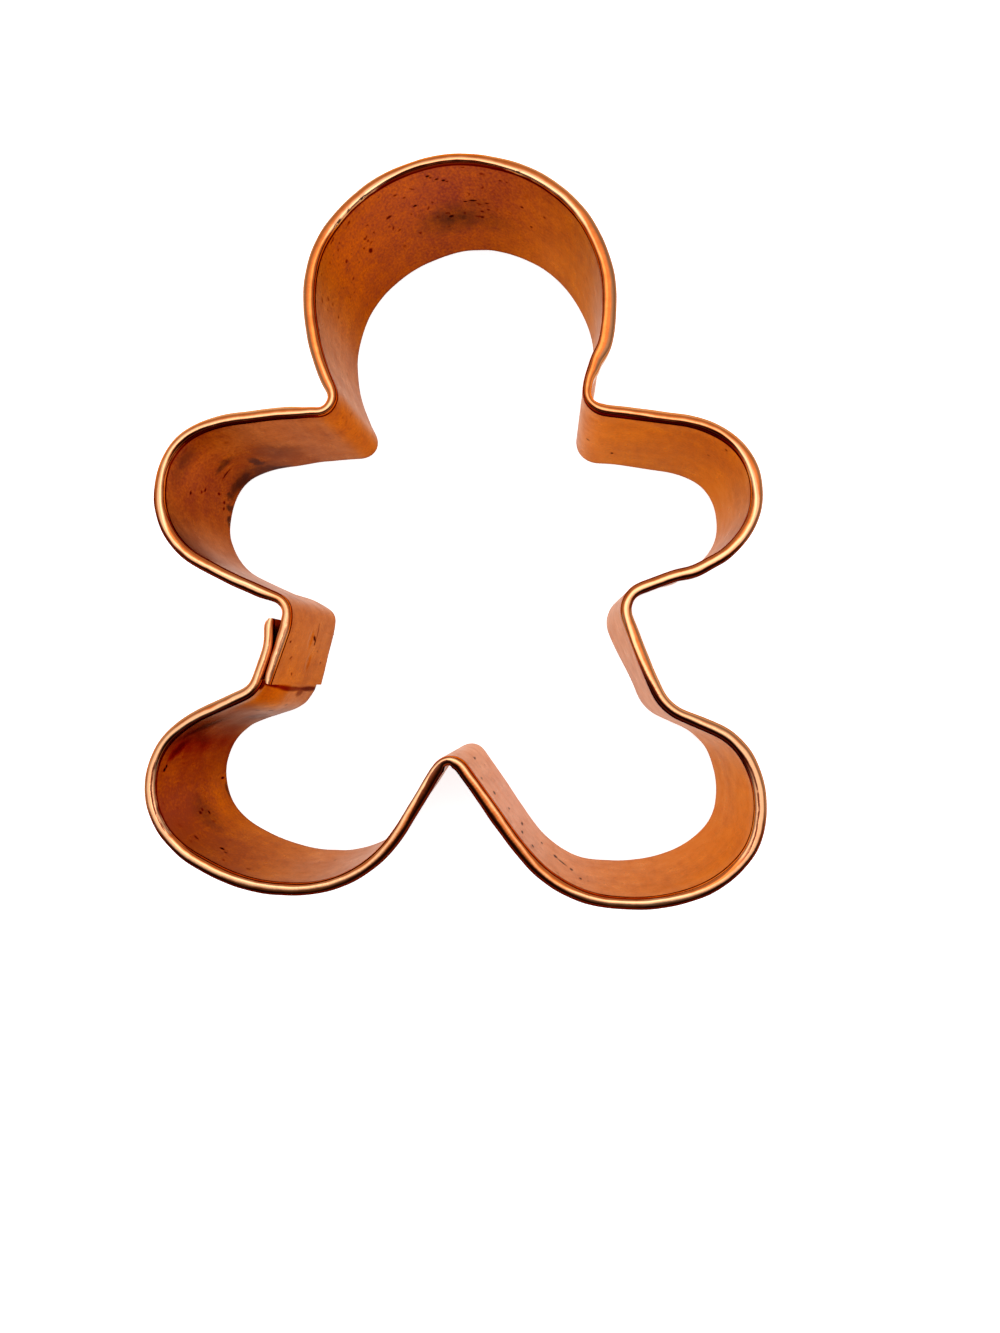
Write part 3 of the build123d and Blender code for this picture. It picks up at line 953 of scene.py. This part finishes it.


# The rim's colour before its dark lines: a rubbed crest with a painted highlight, warm shoulders, and flanks with
# a painted pale or dark reflection
def rimColour(tree, spec, looks, noises, across):
    amounts, bands = spec["amounts"], spec["bands"]
    fromCrest, polishAndHighlight = looks["fromCrest"], looks["polishAndHighlight"]
    # Painted highlight along the rubbed crest
    away = mathNode(tree, "ABSOLUTE", mathNode(tree, "SUBTRACT", fromCrest, spec["rubbedHighlightShift"]))
    away = varied(tree, noises["mottle"], amounts["rubbedMottle"], away)
    away = mathNode(tree, "MULTIPLY_ADD", mathNode(tree, "SUBTRACT", 1.0, polishAndHighlight), amounts["unrubbed"], away)
    rubbedHighlight = times(tree, rangeNode(tree, away, *bands["rubbedHighlight"]), polishAndHighlight)
    # A second painted highlight on the ridge beside the crease
    ridge = mathNode(tree, "ADD", mathNode(tree, "ADD", fromCrest, looks["creaseReach"]), spec["ridgeReach"])
    ridge = rangeNode(tree, mathNode(tree, "ABSOLUTE", ridge), *bands["ridge"])
    ridge = times(tree, ridge, rangeNode(tree, looks["creaseLine"], *bands["ridged"]))
    rubbedHighlight = mathNode(tree, "MAXIMUM", rubbedHighlight, times(tree, ridge, polishAndHighlight))
    tarnished = rangeNode(tree, noises["mottle"], *bands["rimTarnish"])
    rim = mixColour(tree, tarnished, spec["rimClean"], spec["rimTarnish"])
    rim = mixColour(tree, rubbedHighlight, rim, spec["polishedHighlight"])
    # The flank's painted reflection, from pale to dark
    flankShaded = rangeNode(tree, looks["outerShade"], *bands["flankShaded"])
    flank = mixColour(tree, flankShaded, spec["rimEdge"], spec["rimFlank"])
    return mixColour(tree, rangeNode(tree, across, *bands["flank"]), rim, flank)


# Painted shade and dark reflections on the rim: its inner and outer side, the lines where it meets the wall and
# the flap, its crease
def rimDark(tree, spec, looks, noises, wavy, across):
    amounts, bands = spec["amounts"], spec["bands"]
    outerShade = looks["outerShade"]
    crest = mathNode(tree, "MULTIPLY_ADD", wavy, amounts["wavyCrest"], looks["fromCrest"])
    innerDark = times(tree, rangeNode(tree, crest, *bands["innerDark"]), looks["innerShade"])
    outerSide = mathNode(tree, "ADD", across, looks["outerReach"])
    outerDark = times(tree, rangeNode(tree, outerSide, *bands["outerDark"]), outerShade)
    ragged = mathNode(tree, "MULTIPLY_ADD", wavy, amounts["wavyLine"], looks["length"])
    fromLine = mathNode(tree, "ABSOLUTE", mathNode(tree, "SUBTRACT", ragged, looks["lineLevel"]))
    # Painted shade lines at the rim's inner foot and along its outer edge
    innerLine = rangeNode(tree, fromLine, *bands["innerLine"])
    outerLine = times(tree, rangeNode(tree, across, *bands["outerLine"]),
                      rangeNode(tree, outerShade, *bands["outerLined"]))
    # Painted shade along the crown's crease, broken into dashes
    fromCrease = mathNode(tree, "ABSOLUTE", mathNode(tree, "ADD", crest, looks["creaseReach"]))
    crease = times(tree, rangeNode(tree, fromCrease, *bands["crease"]), looks["creaseLine"])
    crease = times(tree, crease, rangeNode(tree, noises["dashes"], *bands["dash"]))
    sides = mathNode(tree, "MAXIMUM", innerDark, outerDark)
    lines = mathNode(tree, "MAXIMUM", innerLine, crease)
    return mathNode(tree, "MAXIMUM", mathNode(tree, "MAXIMUM", sides, lines), outerLine)


def makeCopper(spec, shades, stains, burns, pitsAndShadow):
    material = bpy.data.materials.new("agedCopper")
    material.use_nodes = True
    tree = material.node_tree
    shader = tree.nodes["Principled BSDF"]
    shader.inputs["Metallic"].default_value = 1
    amounts, bands = spec["amounts"], spec["bands"]
    looks = readLooks(tree)
    place = looks["stripPlace"]
    noises = {name: noiseNode(tree, place, *settings) for name, settings in spec["noises"].items()}
    clouds, mottle = noises["clouds"], noises["mottle"]

    # Wall: tarnish, with painted shade
    share = tarnishAndShadeShare(tree, spec, looks, noises)
    inside = rangeNode(tree, looks["side"], *bands["inside"])
    tarnished = mixColour(tree, inside, spec["tarnishedOutside"], spec["tarnished"])
    wall = mixColour(tree, share, spec["clean"], tarnished)
    sooty = mathNode(tree, "MULTIPLY_ADD", clouds, *spec["sootClouds"])
    sooty = mathNode(tree, "MULTIPLY", looks["sootiness"], sooty, clamp=True)
    wall = mixColour(tree, sooty, wall, spec["soot"])
    tint = mixColour(tree, looks["warmth"], spec["paleTint"], spec["warmTint"])
    tint = mixColour(tree, share, tint, spec["tarnishedTint"])
    tint = mixColour(tree, sooty, tint, spec["sootTint"])

    # Marks on it
    warped = warpedPlace(tree, spec, place)
    dirt, holesAndShadow = speckle(tree, spec, looks, noises, warped)
    dirt = addMarks(tree, dirt, warped, shades, spec["shadeEdge"])
    dirt = addMarks(tree, dirt, warped, stains, spec["stainEdge"])
    holesAndShadow = addMarks(tree, holesAndShadow, warped, burns, spec["burnEdge"])
    holesAndShadow = addMarks(tree, holesAndShadow, place, pitsAndShadow, spec["pitEdge"])
    dirt = mathNode(tree, "MULTIPLY", dirt, rangeNode(tree, mottle, *bands["dirt"]), clamp=True)
    wall = mixColour(tree, holesAndShadow, mixColour(tree, dirt, wall, spec["stain"]), spec["pitAndShadow"])
    tint = mixColour(tree, holesAndShadow, mixColour(tree, dirt, tint, spec["stainTint"]), spec["pitAndShadowTint"])

    # Rim
    wavy = mathNode(tree, "SUBTRACT", noises["waves"], 0.5)
    across = mathNode(tree, "MULTIPLY_ADD", wavy, amounts["wavySide"], looks["fromInner"])
    rim = rimColour(tree, spec, looks, noises, across)
    dark = rimDark(tree, spec, looks, noises, wavy, across)
    pastLine = mathNode(tree, "SUBTRACT", looks["length"], looks["lineLevel"])
    onRim = rangeNode(tree, pastLine, *bands["onRim"])
    nearRim = rangeNode(tree, pastLine, *bands["nearRim"])
    dark = times(tree, dark, times(tree, inside, nearRim))
    onCrown = times(tree, onRim, inside)
    # The rim's painted shade and dark reflections laid over its colour
    colour = mixColour(tree, dark, mixColour(tree, onCrown, wall, rim), spec["paintedShade"])
    plug(tree, colour, shader.inputs["Base Color"])
    tint = mixColour(tree, dark, mixColour(tree, onCrown, tint, spec["rimTint"]), spec["paintedShadeTint"])
    plug(tree, tint, shader.inputs["Specular Tint"])

    # Surface
    wallRoughness = spec["wallRoughness"]
    rough = mathNode(tree, "MULTIPLY_ADD", onRim, spec["rimRoughness"] - wallRoughness, wallRoughness)
    plug(tree, varied(tree, mottle, amounts["roughMottle"], rough), shader.inputs["Roughness"])
    bump = addNode(tree, "ShaderNodeBump")
    bump.inputs["Strength"].default_value = spec["bumpStrength"]
    bump.inputs["Distance"].default_value = spec["bumpDepth"]
    relief = mathNode(tree, "ADD", mottle, clouds)
    relief = mathNode(tree, "MULTIPLY_ADD", noises["grain"], amounts["bumpGrain"], relief)
    plug(tree, relief, bump.inputs["Height"])
    plug(tree, bump.outputs[0], shader.inputs["Normal"])
    return material


# Fused copper of the two spot welds
weldCopper = {"colour": (0.42, 0.15, 0.05), "roughness": 0.55}


def makePlainCopper(name, spec):
    material = bpy.data.materials.new(name)
    material.use_nodes = True
    shader = material.node_tree.nodes["Principled BSDF"]
    shader.inputs["Metallic"].default_value = 1
    shader.inputs["Base Color"].default_value = (*spec["colour"], 1)
    shader.inputs["Roughness"].default_value = spec["roughness"]
    return material


addLooks(bentStrip, copper)
agedCopper = makeCopper(copper, wallShades, wallStains, burntStreaks, pitsAndSeamShadow)
bentStrip.data.materials.append(agedCopper)
fusedCopper = makePlainCopper("fusedCopper", weldCopper)
for slot in frame["nodes"]["seam_spot_welds"].material_slots:
    slot.material = fusedCopper
print("copper finished")

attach(bentStrip, "root")
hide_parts("copper_strip")

scene.view_settings.view_transform = "Standard"
bpy.context.view_layer.update()
